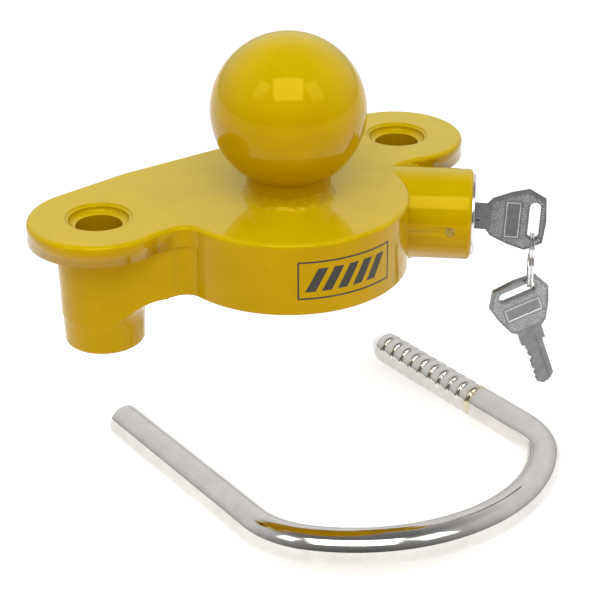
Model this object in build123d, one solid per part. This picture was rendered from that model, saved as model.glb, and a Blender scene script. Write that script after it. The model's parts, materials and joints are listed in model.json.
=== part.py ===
from build123d import *
import math
import os

# Trailer coupler lock, in millimetres, +Z up. The origin is the centre of the coupling ball. The two
# shackle bores lie behind the ball, left and right of it, and the lock barrel points forward and right.

# ---- overall sizes ----
ball_d = 50.0            # coupling ball
neck_h = 3.7             # from the ball's lowest point, if it were whole, down to the deck
hole_spacing = 118.8     # between the two shackle bores
hole_y = 19.5            # bores behind the ball's axis
rod_d = 13.0             # shackle bar
edge_r = 1.6             # rounding of cast edges
low_edge_r = 0.96        # rounding of the lower edges of the web and tubes

# ---- housing ----
deck_t = 6.8
lobe_r = 22.8
disc_r = 39.2
body_depth = 24.5
back_bow_r = 26.0        # bowed back edge, half width behind the bores
back_bow_x = 34.0
notch_depth = 21.3       # front edge between lobe and disc, in front of the bores
notch_r = 6.0
web_inset = 0.8          # web wall behind the deck's front edge
web_front_x = 46.0       # where the web's front wall turns towards the tube
web_corner_r = 5.5       # concave, between the web's front wall and the disc
web_back = (29.4, 18.0)  # half width and distance of the web behind the bores
web_root_r = 10.0
tube_d = 25.8            # at the tube's lower end
tube_top_d = 28.4        # at the deck's underside
tube_h = 42.8
bore_clearance = 1.0     # radial, round the shackle bar
recess_d = 21.5
recess_depth = 0.7
recess_wall = 0.2        # straight part of the recess wall, above its corner
recess_corner = 0.5
bore_edge_r = 2.2
spigot_d = 20.0
neck_d = 27.4
weld_reach = 2.4
weld_height = 4.6
weld_face_r = 7.8

# ---- lock barrel ----
barrel_angle = -41.2     # degrees from +X, in plan
barrel_d = 30.6
barrel_drop = 15.5       # axis below the deck
barrel_offset = (0.7, -41.1)   # middle of the barrel's face from the right bore, in plan
barrel_length = 50.0
shell_d = 22.0
shell_length = 17.0
shell_inset = 0.3
chamber_d = 17.0
chamber_depth = 33.4
boss_wall = 3.8          # metal round the latch's cross bore
plug_d = 13.0
plug_front = 0.6
shell_chamfer = 0.5
plug_chamfer = 0.4
running = 0.04           # radial clearance of turning and sliding fits
gap = 0.3                # clearance between neighbours that pass each other
pin_d = 3.4
pin_setback = 7.0
pin_depth = 5.3

# ---- wafers and key ----
wafer_count = 5
wafer_first = 4.0
wafer_pitch = 2.7
wafer_t = 0.7
wafer_w = 5.2
wafer_h = 11.6
wafer_window = (2.9, 8.6)
wafer_travel = 0.8
key_t = 2.2
blade_half = 3.2
blade_length = 17.4
blade_tip = 2.6
blade_groove = (0.9, 2.0)
groove_offset = 0.4
bitting = (0.9, 1.5, 0.6, 1.2, 0.8)
key_droop = 2.3          # degrees that the inserted key hangs down in its keyway
neck_half = 4.35
bow_side = ((4.8, 4.35), (6.5, 6.5), (12.6, 9.2), (18.4, 10.85), (24.2, 7.8), (24.9, 0.0))
slot_w = 3.7
slot_length = 13.7
rim_w = 2.25             # between the slot and the bow's end
panel = (4.2, 12.2, 0.2)
panel_gap = 5.4          # from the slot to the panel's middle
keyway_clear = 0.15
keyway_play = 0.5        # above and below the blade, which lets the key droop

# ---- cam, latch and spring ----
cam_d = 12.0
cam_t = 3.0
tail_square = 5.0
tail_d = 9.0
socket_depth = 2.0       # of the cam's square socket
socket_play = 0.1
clip_t = 0.8
clip_groove = 0.9        # its depth in the plug's tail
clip_rim = 1.8           # how far the clip stands out of the tail
clip_mouth = 2.4
crank_d = 3.0
cam_pin_d = 1.4
cam_pin_short = 0.5      # the pin's ends below the cam's rim
latch_travel = 2.2
crank_swing = 0.22       # sideways lead of the crank pin on the latch, as a share of the travel
latch_d = 9.0
latch_tail = 7.0
latch_web = 0.1          # the latch's notch stops this far outside its axis
nose_length = 3.2
nose_t = 1.6
spring_wire = 0.9
spring_turns = 5
spring_side = 1.2        # coil's mean radius inside the latch's own
spring_room = 8.0
closer_t = 3.5
closer_sunk = 0.2        # below the tube's wall

# ---- shackle ----
shackle_at = (32.4, -18.4, -139.6)   # middle of the bar where the legs run into the bend
shackle_lean = (-3.2, 1.6, -1.5)     # degrees about X, Y and Z that it lies away from square
plain_leg = 90.7
toothed_leg = 93.0
corner_r = 31.3
crown_extra = 10.1       # crown's radius beyond half the spacing of the legs
teeth = 10
# points of a tooth: distance along the leg, radius from the crest
tooth = ((0.5, -1.15), (1.7, -1.15), (2.3, -0.25), (2.9, 0.0), (4.4, 0.0), (5.6, -0.35))
tooth_pitch = 6.05
tooth_crest_d = 12.6
tip_length = 7.4
tip_d = 5.0
tip_step = 0.2
tip_chamfer = 0.7
bar_chamfer = 0.7

# ---- ring ----
ring_wire = 1.0
ring_d = 19.0
turn_offset = 0.49       # of each turn from the ring's middle plane
spare_tilt = 19.5        # degrees that the spare key hangs away from plumb
spare_turn = 18.5        # degrees that it is turned away from the key in the lock

ball_rise = ball_d / 2 + neck_h
deck_z = -ball_rise
hole_x = hole_spacing / 2
barrel_face = (hole_x + barrel_offset[0], hole_y + barrel_offset[1])
crown_r = hole_x + crown_extra
bore_r = rod_d / 2 + bore_clearance
face_z = deck_z - barrel_drop
lock_dir = Vector(math.cos(math.radians(barrel_angle)), math.sin(math.radians(barrel_angle)), 0)
latch_dir = Vector(-lock_dir.Y, lock_dir.X, 0)
# lock frame: x towards the right bore, y up, z out of the barrel's face
lock_frame = Plane(origin=(*barrel_face, face_z), x_dir=latch_dir, z_dir=lock_dir)
to_bore = Vector(hole_x - barrel_face[0], hole_y - barrel_face[1], 0)
latch_z = to_bore.dot(lock_dir)
bore_x = to_bore.dot(latch_dir)
latch_tip = bore_x - bore_r - gap
tail_start = shell_inset + shell_length
cam_start = tail_start + gap + clip_t + 2 * gap


def rod_along(length, radius, start, direction):
    """A cylinder from start, of the given length, along direction."""
    return extrude(Plane(origin=start, z_dir=direction) * Circle(radius), length)


def in_lock(radius, near, far, x=0.0, y=0.0):
    """A cylinder along the lock frame's z between two depths behind the face."""
    return rod_along(far - near, radius, (x, y, -far), (0, 0, 1))


def place_lock(shape):
    return lock_frame.location * shape


# ---- housing ----
def deck_outline():
    lobes = Pos(-hole_x, hole_y) * Circle(lobe_r) + Pos(hole_x, hole_y) * Circle(lobe_r)
    bows = Pos(-back_bow_x, hole_y) * Circle(back_bow_r) + Pos(back_bow_x, hole_y) * Circle(back_bow_r)
    back = make_hull((lobes + bows).edges())
    keep_h = back_bow_r + notch_depth
    keep = Pos(0, hole_y - notch_depth + keep_h / 2) * Rectangle(4 * hole_x, keep_h)
    outline = (back & keep) + lobes + Circle(disc_r)
    notch_y = hole_y - notch_depth
    corners = [v for v in outline.vertices() if abs(v.Y - notch_y) < 0.5]
    inner = [v for v in corners if abs(v.X) < disc_r + 1]
    outline = fillet(inner, notch_r)
    outer = [v for v in outline.vertices() if abs(v.Y - notch_y) < 0.5 and abs(v.X) > disc_r + notch_r + 0.5]
    return fillet(outer, notch_r)


def touch_point(corner, side):
    """Where a line from a corner touches the right tube, on the front (-1) or the back (+1)."""
    radius = tube_at(body_depth)
    dx, dy = corner[0] - hole_x, corner[1] - hole_y
    angle = math.atan2(dy, dx) - side * math.acos(radius / math.hypot(dx, dy))
    return hole_x + radius * math.cos(angle), hole_y + radius * math.sin(angle)


def web_outline():
    """Straight walls from each tube to the front and back corners, joined to the disc by fillets."""
    front = (web_front_x, hole_y - notch_depth + web_inset)
    back = (web_back[0], hole_y + web_back[1])
    right = [front, touch_point(front, -1), (hole_x, hole_y), touch_point(back, 1), back]
    left = [(-x, y) for x, y in reversed(right)]
    web = make_face(Polyline(*right, *left, close=True))
    outline = web + Circle(disc_r)
    for x in (-hole_x, hole_x):
        outline += Pos(x, hole_y) * Circle(tube_at(body_depth))
    inner = [v for v in outline.vertices() if v.Y < web_inset and abs(math.hypot(v.X, v.Y) - disc_r) < 0.1]
    return fillet(inner, web_corner_r)


def tube_at(depth):
    """Radius of the drafted tube at a depth below the deck."""
    share = (tube_h - depth) / (tube_h - deck_t)
    return tube_d / 2 + share * (tube_top_d - tube_d) / 2


def housing():
    deck = extrude(deck_outline(), -deck_t)
    deck = fillet(deck.faces().sort_by(Axis.Z)[-1].outer_wire().edges(), edge_r)
    body = extrude(web_outline(), -body_depth)
    body = fillet(body.faces().sort_by(Axis.Z)[0].outer_wire().edges(), low_edge_r)
    body = body & (Pos(0, 0, -deck_t / 2 - body_depth / 2) * Box(400, 400, body_depth))
    half = (tube_h - deck_t / 2) / 2
    cone = Pos(0, 0, half - tube_h) * Cone(tube_d / 2, tube_at(deck_t / 2), 2 * half)
    tubes = [Pos(x, hole_y) * cone for x in (-hole_x, hole_x)]
    tubes = [fillet(t.edges().sort_by(Axis.Z)[0], low_edge_r) for t in tubes]
    roots = [Pos(x, hole_y, -body_depth) * tube_root() for x in (-hole_x, hole_x)]
    solid = deck + body + tubes + [r & web_prism() for r in roots]
    drop = Pos(0, 0, deck_z)
    solid = drop * solid
    barrel = in_lock(barrel_d / 2, 0, barrel_length)
    barrel = fillet(barrel.edges().sort_by(Axis.Z)[-1], edge_r)
    boss = rod_along(bore_x, latch_d / 2 + boss_wall, (0, 0, latch_z), (1, 0, 0))
    solid = solid + place_lock(barrel) + place_lock(boss)
    for x in (-hole_x, hole_x):
        solid -= drop * Pos(x, hole_y) * bore_cutter()
    solid -= drop * rod_along(body_depth, spigot_d / 2, (0, 0, -body_depth), (0, 0, 1))
    cavity = in_lock(shell_d / 2, -1, tail_start) + in_lock(chamber_d / 2, tail_start - 1, chamber_depth)
    cross = rod_along(bore_x + tube_d + latch_tail + spring_room, latch_d / 2 + running,
                      (-latch_tail - spring_room, 0, latch_z), (1, 0, 0))
    pin_hole = rod_along(barrel_d, pin_d / 2, (-barrel_d, 0, -pin_setback), (1, 0, 0))
    return solid - place_lock(cavity) - place_lock(cross) - place_lock(pin_hole)


def web_prism():
    return extrude(web_outline(), -tube_h)


def tube_root():
    """Concave fillet ring where a tube runs into the underside of the web."""
    top = tube_at(body_depth)
    foot = tube_at(body_depth + web_root_r)
    inner = foot - 1
    side = Polyline((inner, -web_root_r), (inner, 1), (top + web_root_r, 1), (top + web_root_r, 0))
    curve = ThreePointArc((top + web_root_r, 0), fillet_middle(top, foot), (foot, -web_root_r))
    bottom = Line((foot, -web_root_r), (inner, -web_root_r))
    return revolve(Plane.XZ * make_face(side + curve + bottom), Axis.Z)


def fillet_middle(top, foot):
    """Middle point of the fillet arc, on the diagonal from its centre."""
    reach = web_root_r * math.cos(math.radians(45))
    return (top + foot) / 2 + web_root_r - reach, -web_root_r + reach


def bore_cutter():
    """Shackle bore with its shallow recess and the rounded edge between them."""
    floor = -recess_depth
    edge = bore_r + bore_edge_r
    outline = Polyline((0, 1), (recess_d / 2, 1), (recess_d / 2, -recess_wall),
                       (recess_d / 2 - recess_corner, floor), (edge, floor))
    lip = RadiusArc((edge, floor), (bore_r, floor - bore_edge_r), bore_edge_r)
    rest = Polyline((bore_r, floor - bore_edge_r), (bore_r, -tube_h - 1), (0, -tube_h - 1), (0, 1))
    return revolve(Plane.XZ * make_face(outline + lip + rest), Axis.Z)


# ---- coupling ball and its weld ----
def coupling_ball():
    neck = rod_along(ball_rise, neck_d / 2, (0, 0, deck_z), (0, 0, 1))
    spigot = rod_along(body_depth, spigot_d / 2, (0, 0, deck_z - body_depth + 1), (0, 0, 1))
    return Sphere(ball_d / 2) + neck + spigot


def ball_weld():
    inner = neck_d / 2
    top = (inner, deck_z + weld_height)
    toe = (inner + weld_reach, deck_z)
    side = Polyline(top, (inner, deck_z), toe)
    face = RadiusArc(toe, top, weld_face_r)
    return revolve(Plane.XZ * make_face(side + face), Axis.Z)


# ---- lock cylinder ----
def wafer_depths():
    return [wafer_first + i * wafer_pitch for i in range(wafer_count)]


def lock_shell():
    shell = in_lock(shell_d / 2, shell_inset, tail_start)
    shell = chamfer(shell.edges().sort_by(Axis.Z)[-1], shell_chamfer)
    shell -= in_lock(plug_d / 2 + running, 0, tail_start + 1)
    groove_h = plug_d / 2 + wafer_travel + gap
    first = wafer_depths()[0] - wafer_t - gap
    groove = Pos(0, -groove_h / 2, -(first + tail_start + 1) / 2)
    groove = groove * Box(wafer_w + 2 * gap, groove_h, tail_start + 1 - first)
    shell -= groove + Rot(0, 0, 90) * groove   # the wafers drop with the plug in either end position
    pin_bore = rod_along(pin_depth, pin_d / 2, (-barrel_d / 2, 0, -pin_setback), (1, 0, 0))
    return shell - pin_bore


def shell_pin():
    return rod_along(pin_depth, pin_d / 2, (-barrel_d / 2, 0, -pin_setback), (1, 0, 0))


def lock_plug():
    plug = in_lock(plug_d / 2, plug_front, tail_start)
    plug = chamfer(plug.edges().sort_by(Axis.Z)[-1], plug_chamfer)
    groove_start = tail_start + gap
    tail = in_lock(tail_d / 2, tail_start - 1, cam_start - gap / 2)
    tail -= in_lock(tail_d, groove_start, groove_start + clip_t) - in_lock(tail_d / 2 - clip_groove, 0, cam_start)
    drive_far = cam_start + socket_depth - socket_play
    drive = Pos(0, 0, -(tail_start + drive_far) / 2) * Box(tail_square, tail_square, drive_far - tail_start)
    plug = plug + tail + drive
    keyway_far = plug_front + blade_length + gap
    keyway_near = plug_front - 1
    plug -= (Pos(0, 0, -(keyway_near + keyway_far) / 2)
             * Box(key_t + 2 * keyway_clear, 2 * (blade_half + keyway_play), keyway_far - keyway_near))
    for depth in wafer_depths():
        plug -= Pos(0, 0, -depth) * Box(wafer_w + 2 * running, plug_d + 2, wafer_t + 2 * running)
    return plug - cam_pin()


def lock_wafer(depth):
    wafer = Box(wafer_w, wafer_h, wafer_t) - Box(*wafer_window, wafer_t * 2)
    return Pos(0, 0, -depth) * wafer


def plug_clip():
    start = tail_start + gap
    clip = in_lock(tail_d / 2 + clip_rim, start, start + clip_t) - in_lock(tail_d / 2 - clip_groove, 0, start + 2)
    return clip - Pos(0, -tail_d / 2, -start) * Box(clip_mouth, tail_d, 4)


def lock_cam():
    cam = in_lock(cam_d / 2, cam_start, cam_start + cam_t)
    socket_far = cam_start + socket_depth
    cam -= Pos(0, 0, -(cam_start - 1 + socket_far) / 2) * Box(tail_square, tail_square, socket_far - cam_start + 1)
    crank = in_lock(crank_d / 2, cam_start + cam_t - 0.5, -latch_z - 0.5, x=-latch_travel)
    return cam + crank - cam_pin()


def cam_pin():
    depth = cam_start + socket_depth / 2
    length = cam_d - 2 * cam_pin_short
    return rod_along(length, cam_pin_d / 2, (-length / 2, 0, -depth), (1, 0, 0))


# ---- latch ----
def latch_bolt():
    bolt = rod_along(latch_tip + latch_tail, latch_d / 2, (-latch_tail, 0, latch_z), (1, 0, 0))
    swing = crank_swing * latch_travel
    low = -latch_travel - swing - crank_d / 2 - gap
    high = -latch_travel + crank_d / 2 + gap
    notch_z = latch_d / 2 - latch_web
    bolt -= Pos((low + high) / 2, 0, latch_z + latch_web + notch_z) * Box(high - low, latch_d * 2, 2 * notch_z)
    for side in (1, -1):
        cheek = (nose_t + latch_d) / 2
        bolt -= Pos(latch_tip, side * cheek, latch_z) * Box(2 * nose_length, latch_d, latch_d * 2)
    return bolt


def latch_spring():
    room = spring_room - 2 * spring_wire - gap
    radius = latch_d / 2 - spring_side
    helix = Helix(pitch=room / spring_turns, height=room, radius=radius)
    wire = sweep(Plane(origin=helix @ 0, z_dir=helix % 0) * Circle(spring_wire / 2), path=helix)
    along = Plane(origin=(-latch_tail - spring_room + spring_wire, 0, latch_z), z_dir=(1, 0, 0))
    return along.location * wire


def latch_closer():
    """Plug pressed into the outer end of the cross bore, behind the right tube."""
    outer = bore_x + math.sqrt((tube_d / 2) ** 2 - (latch_d / 2) ** 2) - closer_sunk
    return rod_along(closer_t, latch_d / 2 + running, (outer - closer_t, 0, latch_z), (1, 0, 0))


# ---- keys and ring ----
def key_blank():
    """Key with its blade down -z, its shoulder at the plug's face and its bow up +z."""
    side = [(gap - plug_front, neck_half), *bow_side]
    outline = side + [(x, -y) for x, y in reversed(side[:-1])]
    face = make_face(Polyline(*outline, close=True))
    far = -plug_front - blade_length
    blade = make_face(Polyline((0, blade_half), (far + blade_tip, blade_half), (far, blade_half * 0.25),
                               (far, -blade_half * 0.35), (far + blade_tip * 0.6, -blade_half), (0, -blade_half),
                               close=True))
    slot = Pos(slot_z(), 0) * SlotOverall(slot_length, slot_w, rotation=90)
    stand = Plane(origin=(0, 0, 0), x_dir=(0, 0, 1), z_dir=(-1, 0, 0))
    body = extrude(stand * (face + blade), key_t / 2, both=True)
    body -= extrude(stand * slot, key_t, both=True)
    panel_z = slot_z() - slot_w / 2 - panel_gap
    body += extrude(stand * Pos(panel_z, 0) * Rectangle(panel[0], panel[1]), key_t / 2 + panel[2], both=True)
    return cut_blade(body, far)


def slot_z():
    """Middle of the bow's slot."""
    return bow_side[-1][0] - rim_w - slot_w / 2


def cut_blade(body, far):
    """The milled groove along the blade and the five bitting cuts in its lower edge."""
    length = blade_length + neck_half
    for side in (1, -1):
        groove = Pos(side * key_t / 2, side * groove_offset, far + length / 2 - 1) * Box(*blade_groove, length)
        body -= groove
    for depth, cut in zip(wafer_depths(), bitting):
        notch = Pos(0, -blade_half, -depth) * Rot(45, 0, 0) * Box(key_t * 2, cut * 1.6, cut * 1.6)
        body -= notch
    return body


def droop():
    """The lean of the inserted key about the middle of its blade."""
    middle = blade_length / 2
    return Pos(0, 0, -middle) * Rot(key_droop, 0, 0) * Pos(0, 0, middle)


def ring_centre():
    """Middle of the ring, whose top hangs in the lower end of the inserted key's slot."""
    end_room = slot_w / 2 - ring_wire / 2 - gap
    drop = math.sqrt(end_room ** 2 - (ring_wire / 2) ** 2)
    low = slot_length / 2 - slot_w / 2 + drop
    wire = (droop() * Pos(0, -low, slot_z())).position
    return wire.Y - (ring_d - ring_wire) / 2, wire.Z


def split_ring():
    """Two turns of wire side by side, joined at a crossing over the ring's far side."""
    mean = (ring_d - ring_wire) / 2
    y, z = ring_centre()
    turns = [Pos(0, y, z + s * turn_offset) * Torus(mean, ring_wire / 2) for s in (-1, 1)]
    return turns[0] + turns[1]


def spare_key():
    """The second key, hung by its slot on the bottom of the ring, tilted and turned."""
    mean = (ring_d - ring_wire) / 2
    y, z = ring_centre()
    tilt = math.radians(spare_tilt)
    turn = math.radians(spare_turn)
    half_u = ring_wire / 2 + ring_wire / 2 * math.sin(tilt)
    half_v = ring_wire / 2 + ring_wire / 2 * math.cos(tilt) + key_t / 2 * math.sin(turn)
    u = slot_z() + slot_w / 2 - half_u - gap
    v = slot_length / 2 - half_v - 2 * gap
    level = Vector(math.sin(turn), 0, math.cos(turn))
    up = Vector(0, math.cos(tilt), 0) - level * math.sin(tilt)
    across = Vector(0, math.sin(tilt), 0) + level * math.cos(tilt)
    wire = Vector(0, y - mean, z)
    origin = wire - up * u - across * v
    return Plane(origin=origin, x_dir=across.cross(up), z_dir=up).location * key_blank()


# ---- shackle ----
def crown_arch():
    """Three-centre arch between the legs: tight corners and a flatter crown."""
    half = hole_x
    inset = half - corner_r
    rise = math.sqrt((crown_r - corner_r) ** 2 - inset ** 2)
    lean = math.degrees(math.atan2(inset, rise))
    left = CenterArc((-inset, 0), corner_r, 180, 90 - lean)
    crown = CenterArc((0, rise), crown_r, 270 - lean, 2 * lean)
    right = CenterArc((inset, 0), corner_r, 270 + lean, 90 - lean)
    return left, crown, right


def shackle():
    left, crown, right = crown_arch()
    tooth_start = toothed_leg - tip_length - teeth * tooth_pitch
    legs = Line((-hole_x, plain_leg), (-hole_x, 0)), Line((hole_x, 0), (hole_x, tooth_start))
    path = Wire([legs[0], left, crown, right, legs[1]])
    bar = sweep(Plane(origin=(-hole_x, plain_leg, 0), z_dir=(0, -1, 0)) * Circle(rod_d / 2), path=path)
    end = bar.edges().filter_by(GeomType.CIRCLE).sort_by(Axis.Y)[-1]
    bar = chamfer(end, bar_chamfer)
    toothed = Pos(hole_x, tooth_start) * Rot(-90, 0, 0) * tooth_bar()
    lean_x, lean_y, lean_z = shackle_lean
    return Pos(*shackle_at) * Rot(0, lean_y, 0) * Rot(lean_x, 0, 0) * Rot(0, 0, lean_z) * (bar + toothed)


def tooth_bar():
    """Ratchet teeth turned on the leg: a ramp towards the tip and a steep shoulder behind it."""
    crest, tip = tooth_crest_d / 2, tip_d / 2
    points = [(0, 0), (rod_d / 2, 0)]
    for i in range(teeth):
        points += [(crest + sink, i * tooth_pitch + along) for along, sink in tooth]
    end = teeth * tooth_pitch
    points += [(crest - tip_step, end), (tip, end + tip_length - tip_chamfer)]
    points += [(tip - tip_chamfer, end + tip_length)]
    points += [(0, end + tip_length)]
    return revolve(Plane.XZ * make_face(Polyline(*points, close=True)), Axis.Z)


nodes = {
    "housing": housing(),
    "coupling_ball": coupling_ball(),
    "ball_weld": ball_weld(),
    "lock_shell": place_lock(lock_shell()),
    "shell_pin": place_lock(shell_pin()),
    "lock_plug": place_lock(lock_plug()),
    "plug_clip": place_lock(plug_clip()),
    "lock_cam": place_lock(lock_cam()),
    "cam_pin": place_lock(cam_pin()),
    "latch_bolt": place_lock(latch_bolt()),
    "latch_spring": place_lock(latch_spring()),
    "latch_bore_plug": place_lock(latch_closer()),
    "key": place_lock(droop() * key_blank()),
    "split_ring": place_lock(split_ring()),
    "spare_key": place_lock(spare_key()),
    "shackle": shackle(),
}
for index, depth in enumerate(wafer_depths(), start=1):
    nodes[f"lock_wafer_{index}"] = place_lock(lock_wafer(depth))

os.makedirs("parts", exist_ok=True)
for name, shape in nodes.items():
    shape.label = name
    export_step(shape, f"parts/{name}.step")
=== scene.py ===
import json
import math

import bmesh
import bpy
import numpy as np
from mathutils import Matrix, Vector


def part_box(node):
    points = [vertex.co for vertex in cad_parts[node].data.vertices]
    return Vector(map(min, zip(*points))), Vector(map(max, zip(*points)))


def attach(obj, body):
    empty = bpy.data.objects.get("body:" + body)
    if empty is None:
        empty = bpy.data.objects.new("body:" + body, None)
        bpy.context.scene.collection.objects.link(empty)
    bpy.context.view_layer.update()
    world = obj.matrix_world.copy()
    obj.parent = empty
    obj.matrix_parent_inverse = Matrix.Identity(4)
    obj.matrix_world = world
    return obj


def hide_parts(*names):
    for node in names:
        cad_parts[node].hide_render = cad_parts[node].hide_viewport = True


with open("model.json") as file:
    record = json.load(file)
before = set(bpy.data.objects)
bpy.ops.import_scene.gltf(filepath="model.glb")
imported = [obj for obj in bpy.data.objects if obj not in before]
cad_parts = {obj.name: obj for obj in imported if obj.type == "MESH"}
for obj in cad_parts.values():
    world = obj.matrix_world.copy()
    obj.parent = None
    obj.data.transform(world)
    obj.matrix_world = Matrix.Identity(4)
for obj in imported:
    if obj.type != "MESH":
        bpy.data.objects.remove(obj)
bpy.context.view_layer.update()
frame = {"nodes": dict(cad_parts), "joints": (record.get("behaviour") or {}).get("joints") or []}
nodes = frame["nodes"]
MM = 0.001


# ---- camera and studio ----
# A long lens looks down on the lock from the front left, over a white paper floor that glows a little
# like a light table. The room is white behind the lock and dim behind the camera and overhead, and three
# soft boxes face the lock.
def to_linear(code):
    """Linear colour of an sRGB hex code: each channel c becomes c / 12.92 below 0.04045 and
    ((c + 0.055) / 1.055) ** 2.4 above it."""
    channels = np.array([int(code[i:i + 2], 16) / 255 for i in (1, 3, 5)])
    curve = np.where(channels <= 0.04045, channels / 12.92, ((channels + 0.055) / 1.055) ** 2.4)
    return (*curve, 1.0)


def add_node(tree, kind, links=(), **settings):
    """Adds a node and sets its properties and input sockets by name. A link is (input of this node,
    other node, output of the other node)."""
    node = tree.nodes.new(kind)
    for name, value in settings.items():
        if hasattr(node, name):
            setattr(node, name, value)
        else:
            node.inputs[name.replace("_", " ").title()].default_value = value
    for target, source, output in links:
        tree.links.new(source.outputs[output], node.inputs[target])
    return node


def add_ramp(tree, source, output, stops):
    """A colour ramp driven by source, with stops given as (position, sRGB hex code)."""
    ramp = add_node(tree, "ShaderNodeValToRGB", links=[("Fac", source, output)])
    elements = ramp.color_ramp.elements
    while len(elements) < len(stops):
        elements.new(0.5)
    for element, (position, code) in zip(elements, stops):
        element.position = position
        element.color = to_linear(code)
    return ramp


camera = bpy.data.objects.new("camera", bpy.data.cameras.new("camera"))
camera.data.lens = 104.5
camera.data.sensor_width = 36.0
camera.location = (-0.2976, -0.4302, 0.2052)
camera.rotation_euler = Vector((0.51056, 0.72336, -0.46484)).to_track_quat("-Z", "Y").to_euler()
bpy.context.collection.objects.link(camera)
bpy.context.scene.camera = camera
bpy.context.scene.view_settings.view_transform = "Standard"

floor_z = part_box("shackle")[0][2]
floor_half = 3.0
floor_mesh = bpy.data.meshes.new("floor")
corners = [(-1, -1), (1, -1), (1, 1), (-1, 1)]
floor_points = [(x * floor_half, y * floor_half, floor_z) for x, y in corners]
floor_mesh.from_pydata(floor_points, [], [(0, 1, 2, 3)])
floor = bpy.data.objects.new("floor", floor_mesh)
bpy.context.collection.objects.link(floor)
paper = bpy.data.materials.new("matt_white_paper")
paper.use_nodes = True
tree = paper.node_tree
paper_shader = tree.nodes["Principled BSDF"]
paper_shader.inputs["Roughness"].default_value = 0.9
paper_shader.inputs["Specular IOR Level"].default_value = 0.0
paper_shader.inputs["Emission Color"].default_value = (1.0, 1.0, 1.0, 1.0)
paper_shader.inputs["Emission Strength"].default_value = 0.5
place = add_node(tree, "ShaderNodeTexCoord")
fibre = add_node(tree, "ShaderNodeTexNoise", links=[("Vector", place, "Object")], scale=60.0)
paper_tint = add_ramp(tree, fibre, "Fac", [(0.3, "#F3F3F3"), (0.7, "#F6F6F6")])
tree.links.new(paper_tint.outputs["Color"], paper_shader.inputs["Base Color"])
floor_mesh.materials.append(paper)

room = bpy.data.worlds.new("room")
bpy.context.scene.world = room
room.use_nodes = True
tree = room.node_tree
sky = tree.nodes["Background"]
direction = add_node(tree, "ShaderNodeTexCoord")
towards_camera = (-0.57, -0.82, 0.0)
facing = add_node(tree, "ShaderNodeVectorMath", links=[("Vector", direction, "Generated")],
                  operation="DOT_PRODUCT")
facing.inputs[1].default_value = towards_camera
facing_share = add_node(tree, "ShaderNodeMapRange", links=[("Value", facing, "Value")], from_min=-1.0)
sides = add_ramp(tree, facing_share, "Result",
                 [(0.0, "#FFFFFF"), (0.45, "#F0F0F0"), (0.75, "#B0B0B0"), (1.0, "#707070")])
split = add_node(tree, "ShaderNodeSeparateXYZ", links=[("Vector", direction, "Generated")])
levels = add_ramp(tree, split, "Z", [(0.0, "#B0B0B0"), (0.12, "#E4E4E4"), (0.4, "#FFFFFF"),
                                     (0.7, "#FFFFFF"), (0.95, "#8C8C8C")])
room_light = add_node(tree, "ShaderNodeVectorMath", links=[(0, sides, "Color"), (1, levels, "Color")],
                      operation="MULTIPLY")
tree.links.new(room_light.outputs["Vector"], sky.inputs["Color"])
sky.inputs["Strength"].default_value = 0.95


def soft_box(name, azimuth, elevation, distance, size, radiance):
    """A rectangular area light that faces the lock. Azimuth is measured from the camera's side, to the
    right. Its power is radiance times pi times its area."""
    heading = math.atan2(towards_camera[1], towards_camera[0]) + math.radians(azimuth)
    rise = math.radians(elevation)
    across = math.cos(rise)
    place = distance * Vector((math.cos(heading) * across, math.sin(heading) * across, math.sin(rise)))
    light = bpy.data.lights.new(name, "AREA")
    light.shape = "RECTANGLE"
    light.size, light.size_y = size
    light.energy = radiance * math.pi * size[0] * size[1]
    lamp = bpy.data.objects.new(name, light)
    lamp.location = place
    lamp.rotation_euler = (-place).to_track_quat("-Z", "Y").to_euler()
    bpy.context.collection.objects.link(lamp)


for name, azimuth, elevation, size, radiance in (
        ("key_box", 0, 51, (0.9, 0.72), 4.3), ("left_box", -52, 40, (0.35, 0.5), 2.0),
        ("right_box", 50, 40, (0.4, 0.55), 2.0)):
    soft_box(name, azimuth, elevation, 1.2, size, radiance)


# ---- housing ----
# An iron casting under thick gloss yellow enamel: deck, disc, tubes and lock barrel are one piece. The
# enamel's colour is painted with shade, darker on upright walls and darkest facing down, and it has a
# faint orange peel and a few dust nibs.
def new_material(name, metallic, roughness):
    """A material with one principled shader whose plain values are set on its own sockets."""
    material = bpy.data.materials.new(name)
    material.use_nodes = True
    shader = material.node_tree.nodes["Principled BSDF"]
    shader.inputs["Metallic"].default_value = metallic
    shader.inputs["Roughness"].default_value = roughness
    return material, shader


def object_noise(tree, size_mm, detail=2.0):
    """Noise on object coordinates whose blobs are about size_mm across."""
    place = add_node(tree, "ShaderNodeTexCoord")
    return add_node(tree, "ShaderNodeTexNoise", links=[("Vector", place, "Object")],
                    scale=1 / (size_mm * MM), detail=detail)


def tint_between(tree, shader, noise, dark, light):
    """Base colour that runs from dark to light with the noise."""
    ramp = add_ramp(tree, noise, "Fac", [(0.3, dark), (0.7, light)])
    tree.links.new(ramp.outputs["Color"], shader.inputs["Base Color"])


def bump_from(tree, shader, noise, depth_mm):
    """Bump of the given depth from the noise."""
    bump = add_node(tree, "ShaderNodeBump", links=[("Height", noise, "Fac")], distance=depth_mm * MM)
    tree.links.new(bump.outputs["Normal"], shader.inputs["Normal"])


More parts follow.
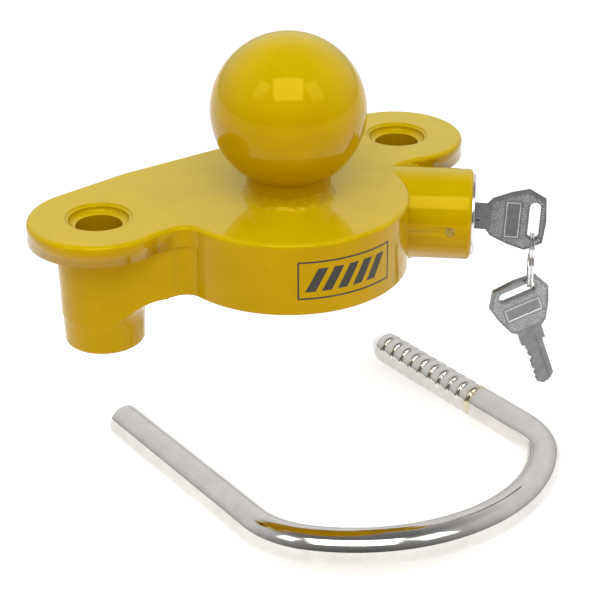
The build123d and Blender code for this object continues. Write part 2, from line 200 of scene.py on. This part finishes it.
enamel, enamel_shader = new_material("gloss_yellow_enamel", 0.0, 0.09)
enamel_shader.inputs["Specular Tint"].default_value = to_linear("#FFD848")
tree = enamel.node_tree
place = add_node(tree, "ShaderNodeTexCoord")
upward = add_node(tree, "ShaderNodeSeparateXYZ", links=[("Vector", place, "Normal")])
tilt = add_node(tree, "ShaderNodeMapRange", links=[("Value", upward, "Z")], from_min=-1.0)
# Painted shade: the enamel's base colour is darkest on faces turned down, darker on upright walls and
# lightest on top.
painted_tilt_shade = add_ramp(tree, tilt, "Result", [(0.0, "#A67A00"), (0.5, "#B28B00"), (1.0, "#D6B800")])
cloud = object_noise(tree, 14.0)
shade = add_ramp(tree, cloud, "Fac", [(0.3, "#F6F6F6"), (0.7, "#FFFFFF")])
shade_and_cloud = add_node(tree, "ShaderNodeVectorMath", links=[(0, painted_tilt_shade, "Color"), (1, shade, "Color")],
                   operation="MULTIPLY")
nibs = add_node(tree, "ShaderNodeTexVoronoi", links=[("Vector", place, "Object")], scale=1 / (7.0 * MM))
nib_mask = add_ramp(tree, nibs, "Distance", [(0.016, "#6E5600"), (0.03, "#FFFFFF")])
shade_cloud_and_nibs = add_node(tree, "ShaderNodeVectorMath", links=[(0, shade_and_cloud, "Vector"), (1, nib_mask, "Color")],
                  operation="MULTIPLY")
tree.links.new(shade_cloud_and_nibs.outputs["Vector"], enamel_shader.inputs["Base Color"])
bump_from(tree, enamel_shader, object_noise(tree, 2.2), 0.004)


def weld_mesh(mesh):
    """Joins the vertices that lie within two micrometres of each other, and turns the faces of a closed
    mesh outward."""
    work = bmesh.new()
    work.from_mesh(mesh)
    bmesh.ops.remove_doubles(work, verts=work.verts, dist=2e-6)
    if all(edge.is_manifold for edge in work.edges):
        bmesh.ops.recalc_face_normals(work, faces=work.faces)
    work.to_mesh(mesh)
    work.free()


def finish_piece(name, mesh, material, body, replaced=(), sharp_deg=None):
    """Puts a mesh in the scene as a smooth piece with one material, riding on a body. Edges over
    sharp_deg stay sharp, and normals lean towards the larger faces so that flats look flat."""
    weld_mesh(mesh)
    mesh.shade_smooth()
    if sharp_deg:
        mesh.set_sharp_from_angle(angle=math.radians(sharp_deg))
    mesh.materials.clear()
    mesh.materials.append(material)
    piece = bpy.data.objects.new(name, mesh)
    bpy.context.collection.objects.link(piece)
    even = piece.modifiers.new("even_normals", "WEIGHTED_NORMAL")
    even.mode = "FACE_AREA_WITH_ANGLE"
    even.keep_sharp = True
    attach(piece, body)
    if replaced:
        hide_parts(*replaced)
    return piece


finish_piece("housing_casting", nodes["housing"].data.copy(), enamel, "housing",
             ["housing"], 38.0)


# ---- coupling ball ----
# A 50 mm forged ball on a short neck, set into the deck and enamelled with the housing.
def grid_mesh(name, points, close_u=False, close_v=False):
    """A mesh from an array of points over two parameters, with quads between neighbouring points."""
    nu, nv = points.shape[:2]
    index = np.arange(nu * nv).reshape(nu, nv)
    if close_u:
        index = np.vstack([index, index[:1]])
    if close_v:
        index = np.hstack([index, index[:, :1]])
    quads = np.stack([index[:-1, :-1], index[1:, :-1], index[1:, 1:], index[:-1, 1:]], axis=-1)
    mesh = bpy.data.meshes.new(name)
    mesh.from_pydata(points.reshape(-1, 3).tolist(), [], quads.reshape(-1, 4).tolist())
    return mesh


def turned(profile, segments):
    """Points of a surface of revolution about Z: each profile point (radius, height) goes round once."""
    angle = np.linspace(0, 2 * np.pi, segments, endpoint=False)[:, None]
    radius, z = np.asarray(profile, float).T
    return np.stack([radius * np.cos(angle), radius * np.sin(angle), z + 0 * angle], axis=-1)


ball_r = 25.0 * MM
neck_r = 13.7 * MM
deck_z = -28.7 * MM
spigot_r = 10.0 * MM
ball_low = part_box("coupling_ball")[0][2]
polar = np.linspace(0, math.pi - math.asin(neck_r / ball_r), 90)
ball_line = np.stack([ball_r * np.sin(polar), ball_r * np.cos(polar)], axis=-1)
neck_line = np.stack([np.full(12, neck_r), np.linspace(ball_line[-1, 1], deck_z, 13)[1:]], axis=-1)
spigot_edge = 0.5 * MM
spigot_line = [(spigot_r, deck_z), (spigot_r, ball_low + spigot_edge),
               (spigot_r - spigot_edge, ball_low), (0, ball_low)]
ball_points = turned(np.vstack([ball_line, neck_line, spigot_line]), 128)
finish_piece("ball_forging", grid_mesh("ball", ball_points, close_u=True), enamel, "housing",
             ["coupling_ball"], 30.0)


# ---- weld bead ----
# A hand-laid fillet weld round the ball's neck, under the enamel. Its toe wanders on the deck and its
# face is lumpy where each pass of the torch stopped.
def weld_bead(inner, reach, rise):
    """A ring whose section is a fillet from the deck to the neck. Its reach and rise swell with slow
    waves of the angle, and its face is hollow: out = inner + reach * swell * (1 - across) squared and
    up = rise * swell * across to the 1.5, plus a small ripple times sin(pi * across)."""
    angle = np.linspace(0, 2 * np.pi, 360, endpoint=False)[:, None]
    across = np.linspace(0, 1, 16)[None, :]
    ripple = 0.5 + 0.5 * np.sin(17 * angle + 1.8 * np.sin(3 * angle) + 0.9 * np.sin(7 * angle))
    toe = 0.86 + 0.08 * np.sin(3 * angle + 0.7) + 0.05 * np.sin(8 * angle + 2.1)
    top = 0.88 + 0.07 * np.sin(4 * angle + 1.2) + 0.05 * np.sin(9 * angle)
    bulge = (0.1 + 0.22 * ripple) * MM * np.sin(np.pi * across)   # 0.1 to 0.32 mm
    out = inner + reach * toe * (1 - across) ** 2 + bulge
    up = deck_z + rise * top * across ** 1.5 + bulge
    return np.stack([out * np.cos(angle), out * np.sin(angle), up], axis=-1)


bead_bite = 0.05 * MM     # how far the bead reaches into the neck
bead_points = weld_bead(neck_r - bead_bite, 2.5 * MM, 4.8 * MM)
finish_piece("weld_bead", grid_mesh("weld", bead_points, close_u=True), enamel, "housing",
             ["ball_weld"])


# ---- label ----
# A thin black print on the disc's wall: a ruled border round a band of hazard stripes, in place of the
# maker's words.
disc_r = 39.2 * MM
print_lift = 0.03 * MM


def wall_band(first, last, steps):
    """A strip on the disc's wall between two lines, just off the enamel. Each line is two points
    (angle in degrees, depth below the deck in mm), and the strip is a grid from one to the other. It
    faces outward when the lines run to the right and the last one is the upper one, or when they run
    down and the last one is to the right."""
    share = np.linspace(0, 1, steps)[:, None]
    ends = [np.array(points, float) for points in (first, last)]
    edge = [start * (1 - share) + end * share for start, end in ends]
    flat = np.stack([edge[0] * (1 - t) + edge[1] * t for t in np.linspace(0, 1, 3)], axis=1)
    angle = np.radians(flat[..., 0])
    out = disc_r + print_lift
    return np.stack([out * np.cos(angle), out * np.sin(angle), deck_z - flat[..., 1] * MM], axis=-1)


def joined(name, pieces):
    """One mesh from several vertex arrays with their faces."""
    work = bmesh.new()
    for points in pieces:
        nu, nv = points.shape[:2]
        made = [[work.verts.new(p) for p in row] for row in points.tolist()]
        for i in range(nu - 1):
            for j in range(nv - 1):
                work.faces.new((made[i][j], made[i + 1][j], made[i + 1][j + 1], made[i][j + 1]))
    mesh = bpy.data.meshes.new(name)
    work.to_mesh(mesh)
    work.free()
    return mesh


mm_per_degree = math.radians(1) * disc_r / MM
label_left, label_right = -121.0, -72.0
label_top, label_bottom = 5.9, 18.9
rule_w = 0.55
rule_deg = rule_w / mm_per_degree
inner_left, inner_right = label_left + rule_deg, label_right - rule_deg
inner_top, inner_bottom = label_top + rule_w, label_bottom - rule_w
strips = [
    wall_band([(label_left, inner_top), (label_right, inner_top)],
              [(label_left, label_top), (label_right, label_top)], 40),
    wall_band([(label_left, label_bottom), (label_right, label_bottom)],
              [(label_left, inner_bottom), (label_right, inner_bottom)], 40),
    wall_band([(label_left, inner_top), (label_left, inner_bottom)],
              [(inner_left, inner_top), (inner_left, inner_bottom)], 3),
    wall_band([(inner_right, inner_top), (inner_right, inner_bottom)],
              [(label_right, inner_top), (label_right, inner_bottom)], 3),
]
stripe_margin = 2.6
left_margin = 2.4 / mm_per_degree
right_margin = 1.2 / mm_per_degree
stripe_top, stripe_bottom = label_top + stripe_margin, label_bottom - stripe_margin
stripe_w, stripe_gap, stripe_lean = 3.3 / mm_per_degree, 2.0 / mm_per_degree, 4.2 / mm_per_degree
start = label_left + left_margin
while start + stripe_w + stripe_lean < label_right - right_margin:
    lean = start + stripe_lean
    strips.append(wall_band([(start, stripe_bottom), (start + stripe_w, stripe_bottom)],
                            [(lean, stripe_top), (lean + stripe_w, stripe_top)], 6))
    start += stripe_w + stripe_gap
ink, ink_shader = new_material("gloss_black_print", 0.0, 0.3)
tree = ink.node_tree
tint_between(tree, ink_shader, object_noise(tree, 0.8), "#141004", "#241D08")
finish_piece("label_print", joined("label", strips), ink, "housing")


# ---- shackle ----
# A 13 mm steel bar bent into a U and bright zinc plated, with drawing marks along it. Ten ratchet rings
# are turned into one leg, and the plating is tinted yellow round the groove nearest the bend.
bar_r = 6.5 * MM
leg_half = 59.4 * MM
plain_leg = 90.7 * MM
toothed_leg = 93.0 * MM
corner_r = 31.3 * MM
crown_r = 69.5 * MM
tooth_count = 10
tooth_pitch = 6.05 * MM
tip_length = 7.4 * MM
tooth_from = toothed_leg - tip_length - tooth_count * tooth_pitch


def turn_matrix(axis, degrees):
    """Rotation about X (0), Y (1) or Z (2)."""
    c, s = math.cos(math.radians(degrees)), math.sin(math.radians(degrees))
    i, j = [(1, 2), (2, 0), (0, 1)][axis]
    matrix = np.eye(3)
    matrix[i, i], matrix[i, j], matrix[j, i], matrix[j, j] = c, -s, s, c
    return matrix


shackle_turn = turn_matrix(1, 1.6) @ turn_matrix(0, -3.2) @ turn_matrix(2, -1.5)
shackle_at = np.array([32.4, -18.4, -139.6]) * MM


def bar_line(step):
    """Centre line of the bar: the plain leg, a tight corner arc, the flatter crown arc, the other corner
    arc and the toothed leg, each tangent to the next."""
    inset = leg_half - corner_r
    rise = math.sqrt((crown_r - corner_r) ** 2 - inset ** 2)
    lean = math.atan2(inset, rise)
    arcs = [(-inset, 0, corner_r, math.pi, math.pi / 2 - lean),
            (0, rise, crown_r, 1.5 * math.pi - lean, 2 * lean),
            (inset, 0, corner_r, 1.5 * math.pi + lean, math.pi / 2 - lean)]
    runs = [np.stack([np.full(40, -leg_half), np.linspace(plain_leg, 0, 40)], axis=-1)]
    for x, y, r, start, sweep in arcs:
        turn = np.linspace(start, start + sweep, max(8, int(r * sweep / step)))
        runs.append(np.stack([x + r * np.cos(turn), y + r * np.sin(turn)], axis=-1)[1:])
    runs.append(np.stack([np.full(40, leg_half), np.linspace(0, toothed_leg, 41)[1:]], axis=-1))
    return np.vstack(runs)


def tooth_profile():
    """Distance along the toothed leg and radius: for each tooth a steep shoulder, a narrow groove and a
    rounded dome that falls gently towards the tip, then the cone of the tip."""
    crest = 6.28 * MM
    groove = [(0.0, -0.12), (0.12, -0.42), (0.4, -1.0), (0.75, -1.13), (1.25, -1.13), (1.6, -0.95)]
    dome = [(1.9, -0.5), (2.2, -0.2), (2.6, -0.06), (3.2, 0.0), (4.2, 0.0), (5.0, -0.03), (5.6, -0.08)]
    shape = np.array(groove + dome) * MM
    rows = [(tooth_from - 0.2 * MM, bar_r), (tooth_from, bar_r - 0.08 * MM)]
    for i in range(tooth_count):
        rows += [(tooth_from + i * tooth_pitch + along, crest + sink) for along, sink in shape]
    cone = toothed_leg - tip_length
    rows += [(cone, crest - 0.12 * MM), (cone + 0.4 * MM, crest - 0.3 * MM),
             (cone + 0.9 * MM, crest - 0.62 * MM), (toothed_leg - 1.6 * MM, 3.25 * MM),
             (toothed_leg - 0.9 * MM, 2.7 * MM), (toothed_leg - 0.35 * MM, 1.9 * MM),
             (toothed_leg - 0.05 * MM, 0.9 * MM), (toothed_leg, 0.0)]
    return np.array(rows)


def bar_points(segments):
    """The bar's surface: a circle carried along the centre line. Its radius is that of the end's
    chamfer, the plain bar or the teeth at each distance."""
    line = bar_line(1.2 * MM)
    along = np.concatenate([[0], np.cumsum(np.linalg.norm(np.diff(line, axis=0), axis=1))])
    leg_start = along[-1] - toothed_leg
    teeth = tooth_profile()
    plain = along[(along > 0.9 * MM) & (along < leg_start + tooth_from - 0.6 * MM)]
    chamfer = np.array([(0.0, 0.0), (0.0, 5.75), (0.12, 5.85), (0.6, 6.42), (0.8, 6.5)]) * MM
    distance = np.concatenate([chamfer[:, 0], plain, leg_start + teeth[:, 0]])
    radius = np.concatenate([chamfer[:, 1], np.full(len(plain), bar_r), teeth[:, 1]])

    def at(s):
        return np.stack([np.interp(s, along, line[:, 0]), np.interp(s, along, line[:, 1])], axis=-1)
    centre = at(distance)
    ahead = at(np.minimum(distance + 0.5 * MM, along[-1])) - at(np.maximum(distance - 0.5 * MM, 0))
    ahead /= np.linalg.norm(ahead, axis=1)[:, None]
    side = np.stack([ahead[:, 1], -ahead[:, 0]], axis=-1)
    angle = np.linspace(0, 2 * np.pi, segments, endpoint=False)
    out = radius[:, None] * np.cos(angle)
    flat = centre[:, None, :] + side[:, None, :] * out[..., None]
    points = np.concatenate([flat, (radius[:, None] * np.sin(angle))[..., None]], axis=-1)
    return points @ shackle_turn.T + shackle_at


plate, plate_shader = new_material("bright_zinc_plate", 1.0, 0.1)
tree = plate.node_tree
place = add_node(tree, "ShaderNodeTexCoord")
spot = add_node(tree, "ShaderNodeVectorMath", links=[(0, place, "Object")], operation="DISTANCE")
first_groove = np.array([leg_half, tooth_from + 1.0 * MM, 0])
spot.inputs[1].default_value = (shackle_at + shackle_turn @ first_groove).tolist()
near = add_node(tree, "ShaderNodeMapRange", links=[("Value", spot, "Value")],
                from_min=5.0 * MM, from_max=7.4 * MM)
# The plating's colour turns yellow within 5 to 7.4 mm of the groove nearest the bend.
groove_yellow_tint = add_ramp(tree, near, "Result", [(0.0, "#CDBF94"), (1.0, "#D6D3CF")])
streaks = add_ramp(tree, object_noise(tree, 7.0, 3.0), "Fac", [(0.3, "#F2F2F2"), (0.7, "#FFFFFF")])
plated = add_node(tree, "ShaderNodeVectorMath", links=[(0, groove_yellow_tint, "Color"), (1, streaks, "Color")],
                  operation="MULTIPLY")
tree.links.new(plated.outputs["Vector"], plate_shader.inputs["Base Color"])
bump_from(tree, plate_shader, object_noise(tree, 1.8), 0.006)
finish_piece("shackle_bar", grid_mesh("bar", bar_points(96), close_v=True), plate, "shackle",
             ["shackle"], 50.0)


# ---- keys ----
# Stamped nickel silver blanks. The bow is knurled on both faces round a smooth panel with a raised
# border, and a smooth rim is left round its outline and its slot.
turn_joint = next(joint for joint in frame["joints"] if joint["name"] == "plug_turn")
lock_at = np.array(turn_joint["pos_m"])
lock_out = np.array(turn_joint["axis"])
lock_across = np.array([-lock_out[1], lock_out[0], 0.0])
lock_turn = np.stack([lock_across, [0.0, 0.0, 1.0], lock_out], axis=1)
key_half_t = 1.1
bow = np.array([(4.8, 4.35), (6.5, 6.5), (12.6, 9.2), (18.4, 10.85), (24.2, 7.8), (24.9, 0.0)])
bow = np.vstack([bow, bow[-2::-1] * (1, -1)])
slot_at, slot_half, slot_r = 20.8, 5.0, 1.85
panel_at, panel_half = 13.55, (2.1, 6.1)
knurl_start = 6.2        # the neck stays smooth up to here


def edge_distance(points, polygon):
    """Distance of each point to the nearest side of the polygon, negative outside it."""
    start, end = polygon, np.roll(polygon, -1, axis=0)
    side = end - start
    offset = points[:, None, :] - start
    share = np.clip((offset * side).sum(-1) / (side ** 2).sum(-1), 0, 1)
    nearest = np.linalg.norm(offset - share[..., None] * side, axis=-1).min(axis=1)
    crosses = (start[:, 1] > points[:, None, 1]) != (end[:, 1] > points[:, None, 1])
    with np.errstate(divide="ignore", invalid="ignore"):
        reach = start[:, 0] + (points[:, None, 1] - start[:, 1]) / side[:, 1] * side[:, 0]
    inside = (crosses & (points[:, None, 0] < reach)).sum(axis=1) % 2 == 1
    return np.where(inside, nearest, -nearest)


def knurl_spots(pitch):
    """Middles of the knurl's diamonds, on a diagonal grid, where they clear the rim, slot and panel."""
    reach = np.arange(-30, 60) * pitch / 2
    first, second = np.meshgrid(reach, reach)
    spots = np.stack([(first + second).ravel(), (first - second).ravel()], axis=-1)
    along, up = spots.T
    from_slot = np.hypot(along - slot_at, np.maximum(np.abs(up) - slot_half, 0)) - slot_r
    from_panel = np.maximum(np.abs(along - panel_at) - panel_half[0], np.abs(up) - panel_half[1])
    keep = (edge_distance(spots, bow) > 0.95) & (along > knurl_start)
    return spots[keep & (from_slot > 0.62) & (from_panel > 0.8)]


def knurl_pyramid(along, up, half_d, height):
    """Four base corners on the key's face, half_d from the middle, and an apex. Each point is (along,
    up, out)."""
    ring = [(half_d, 0), (0, half_d), (-half_d, 0), (0, -half_d)]
    base = [(along + a, up + b, key_half_t) for a, b in ring]
    return [*base, (along, up, key_half_t + height)], [(i, (i + 1) % 4, 4) for i in range(4)]


def panel_border():
    """Four rectangles round the panel, one inside the other: the border's foot, its outer and inner top
    edges and its inner foot. Quads join each to the next."""
    width, flare, rise, panel_rise = 0.3, 0.15, 0.32, 0.2
    loops = [(width + flare, 0.0), (width, rise), (0.0, rise), (-0.1, panel_rise)]
    corners = [(-1, -1), (1, -1), (1, 1), (-1, 1)]
    points = [(panel_at + x * (panel_half[0] + grow), y * (panel_half[1] + grow), key_half_t + level)
              for grow, level in loops for x, y in corners]
    faces = [(loop + i, loop + (i + 1) % 4, loop + 4 + (i + 1) % 4, loop + 4 + i)
             for loop in (0, 4, 8) for i in range(4)]
    return points, faces


def knurl_mesh(name, place_point):
    """The knurl's pyramids and the panel's border on both faces of the bow, put in place by place_point.
    The key's (along, up, out) turns into (z, y, x), so the first face's corners run backwards."""
    pitch = 1.02
    shapes = [knurl_pyramid(along, up, 0.48 * pitch, 0.2) for along, up in knurl_spots(pitch)]
    points, faces = [], []
    for face_side in (1, -1):
        for corners, joins in [*shapes, panel_border()]:
            base = len(points)
            points += [(along, up, face_side * out) for along, up, out in corners]
            faces += [[base + i for i in join[::-face_side]] for join in joins]
    mesh = bpy.data.meshes.new(name)
    mesh.from_pydata(place_point(np.array(points) * MM).tolist(), [], faces)
    return mesh


# The key in the lock hangs down about the middle of its blade. The ring hangs in the lower end of that
# key's slot, and the spare key in the ring, tilted from plumb and turned. All are worked out in mm.
wire_d, slot_gap, ring_mean = 1.0, 0.3, 9.0
tilt, turn = math.radians(19.5), math.radians(18.5)
droop = turn_matrix(0, 2.3)
pivot = np.array([0.0, 0.0, -8.7]) * MM
wire_drop = math.sqrt((slot_r - wire_d / 2 - slot_gap) ** 2 - (wire_d / 2) ** 2)
slot_end = np.array([0.0, -slot_half - wire_drop, slot_at]) * MM
ring_at = droop @ (slot_end - pivot) + pivot - np.array([0.0, ring_mean, 0.0]) * MM
level = np.array([math.sin(turn), 0.0, math.cos(turn)])
plumb = np.array([0.0, 1.0, 0.0])
spare_up = plumb * math.cos(tilt) - level * math.sin(tilt)
spare_across = plumb * math.sin(tilt) + level * math.cos(tilt)
spare_turn = np.stack([np.cross(spare_across, spare_up), spare_across, spare_up], axis=1)
wire_up = wire_d / 2 * (1 + math.sin(tilt))
wire_across = wire_d / 2 * (1 + math.cos(tilt)) + key_half_t * math.sin(turn)
hang_up = slot_at + slot_r - wire_up - slot_gap
hang_across = slot_half + slot_r - wire_across - 2 * slot_gap
spare_at = ring_at - (plumb * ring_mean + spare_up * hang_up + spare_across * hang_across) * MM


def in_lock(points):
    """Key coordinates (along, up, out) as the drooping key in the lock."""
    local = np.stack([points[:, 2], points[:, 1], points[:, 0]], axis=-1)
    return ((local - pivot) @ droop.T + pivot) @ lock_turn.T + lock_at


def on_ring(points):
    """Key coordinates (along, up, out) as the spare key on the ring."""
    local = np.stack([points[:, 2], points[:, 1], points[:, 0]], axis=-1)
    return (local @ spare_turn.T + spare_at) @ lock_turn.T + lock_at


def key_metal(name, dark, light):
    """Nickel silver between two greys, dulled by handling."""
    metal, shader = new_material(name, 1.0, 0.33)
    tree = metal.node_tree
    tint_between(tree, shader, object_noise(tree, 2.5), dark, light)
    bump_from(tree, shader, object_noise(tree, 0.35), 0.006)
    return metal


# The key in the lock is given darker greys than the spare key, and each knurl lighter greys than its blade.
lock_key_grey = key_metal("nickel_silver_darker", "#5B5C5D", "#696A6B")
lock_knurl_grey = key_metal("nickel_knurl_darker", "#A2A3A4", "#B3B4B5")
spare_key_grey = key_metal("stamped_nickel_silver", "#747575", "#838484")
spare_knurl_grey = key_metal("stamped_nickel_knurl", "#B4B5B5", "#C5C6C6")
finish_piece("key_knurl", knurl_mesh("key_knurl", in_lock), lock_knurl_grey, "key", sharp_deg=20.0)
finish_piece("spare_knurl", knurl_mesh("spare_knurl", on_ring), spare_knurl_grey, "spare_key",
             sharp_deg=20.0)


# ---- cylinder flange ----
# The lock cylinder ends in a bright flange that stands a little proud of the painted barrel. It is turned
# in one with the cylinder, with a rounded rim, and the plug and key sit in its middle.
def flange_points(inner, outer, back, front, round_r):
    """A flat ring with a rounded outer rim, in the lock's frame: a profile of (radius, height) turned
    once round, whose rim is a quarter circle of round_r."""
    turn = np.linspace(0, np.pi / 2, 7)
    middle = np.array([outer - round_r, front - round_r])
    rim = middle + round_r * np.stack([np.cos(turn), np.sin(turn)], axis=-1)
    profile = np.vstack([[(outer, back)], rim, [(inner, front), (inner, back)]])
    return turned(profile, 128) @ lock_turn.T + lock_at


bright_metal, bright_shader = new_material("bright_plated_flange", 1.0, 0.2)
tree = bright_metal.node_tree
tint_between(tree, bright_shader, object_noise(tree, 1.2), "#CFCFCC", "#E2E2DF")
flange_ring = flange_points(6.7 * MM, 13.6 * MM, 0.0, 0.85 * MM, 0.35 * MM)
finish_piece("cylinder_flange", grid_mesh("flange", flange_ring, close_u=True), bright_metal, "housing",
             sharp_deg=40.0)


# ---- split ring ----
# Two close turns of hard drawn wire. The wire steps from the first turn to the second at a crossing, and
# its cut ends lie on either side of that step.
ring_r = ring_mean * MM
wire_r = 0.46 * MM       # a little thin, so that it clears the spare key over its whole swing
step_deg = 34.0
cross_at = math.radians(8)


def coil_points(segments):
    """A circle carried round two turns: the wire's middle is at ring_r in the ring's plane and moves from
    -0.49 mm to +0.49 mm across it by a smooth step at the crossing."""
    half = math.radians(step_deg) / 2
    turn = np.linspace(half, 4 * np.pi - half, 360)
    share = np.clip((turn - 2 * np.pi + half) / (2 * half), 0, 1)
    across = (share ** 2 * (3 - 2 * share) - 0.5) * 0.98 * MM
    cap = np.concatenate([[0.0, 0.7], np.ones(356), [0.7, 0.0]])
    angle = np.linspace(0, 2 * np.pi, segments, endpoint=False)
    radius = ring_r + wire_r * cap[:, None] * np.cos(angle)
    out = across[:, None] + wire_r * cap[:, None] * np.sin(angle)
    spin = (turn + cross_at)[:, None]
    local = np.stack([radius * np.cos(spin), radius * np.sin(spin), out], axis=-1) + ring_at
    return local @ lock_turn.T + lock_at


wire, wire_shader = new_material("hard_drawn_wire", 1.0, 0.16)
tree = wire.node_tree
tint_between(tree, wire_shader, object_noise(tree, 1.5), "#D0D0D0", "#E8E8E8")
finish_piece("ring_coil", grid_mesh("coil", coil_points(20), close_v=True), wire, "ring",
             ["split_ring"], 60.0)


# ---- lock parts that keep their CAD shape ----
# The die-cast lock cylinder shows as a thin silver face in the barrel, held by a dull brass pin. The cam,
# latch, clip, wafers and spring are inside and are dressed for the cutaway.
def plain_metal(name, dark, light, size_mm, roughness):
    """A metal between two colours that vary over size_mm, with fine tool marks."""
    metal, shader = new_material(name, 1.0, roughness)
    tree = metal.node_tree
    tint_between(tree, shader, object_noise(tree, size_mm), dark, light)
    bump_from(tree, shader, object_noise(tree, size_mm / 5), 0.008)
    return metal


die_cast = plain_metal("die_cast_zinc", "#B4B4B1", "#C9C9C6", 3.0, 0.22)
zinc_steel = plain_metal("zinc_plated_steel", "#9EA0A4", "#B8BABD", 2.0, 0.3)
spring_steel = plain_metal("spring_steel_wire", "#77777A", "#94949A", 1.5, 0.25)
dull_brass = plain_metal("dull_brass", "#8E7436", "#B29549", 1.0, 0.5)
wafer_brass = plain_metal("stamped_brass", "#C09A4E", "#D6B066", 1.5, 0.35)
finishes = {"lock_shell": die_cast, "lock_plug": die_cast, "lock_cam": zinc_steel, "latch_bolt": zinc_steel,
            "plug_clip": spring_steel, "cam_pin": spring_steel, "latch_spring": spring_steel,
            "latch_bore_plug": enamel, "shell_pin": dull_brass, "key": lock_key_grey, "spare_key": spare_key_grey}
finishes.update({f"lock_wafer_{i}": wafer_brass for i in range(1, 6)})
for name, finish in finishes.items():
    nodes[name].data.materials.clear()
    nodes[name].data.materials.append(finish)
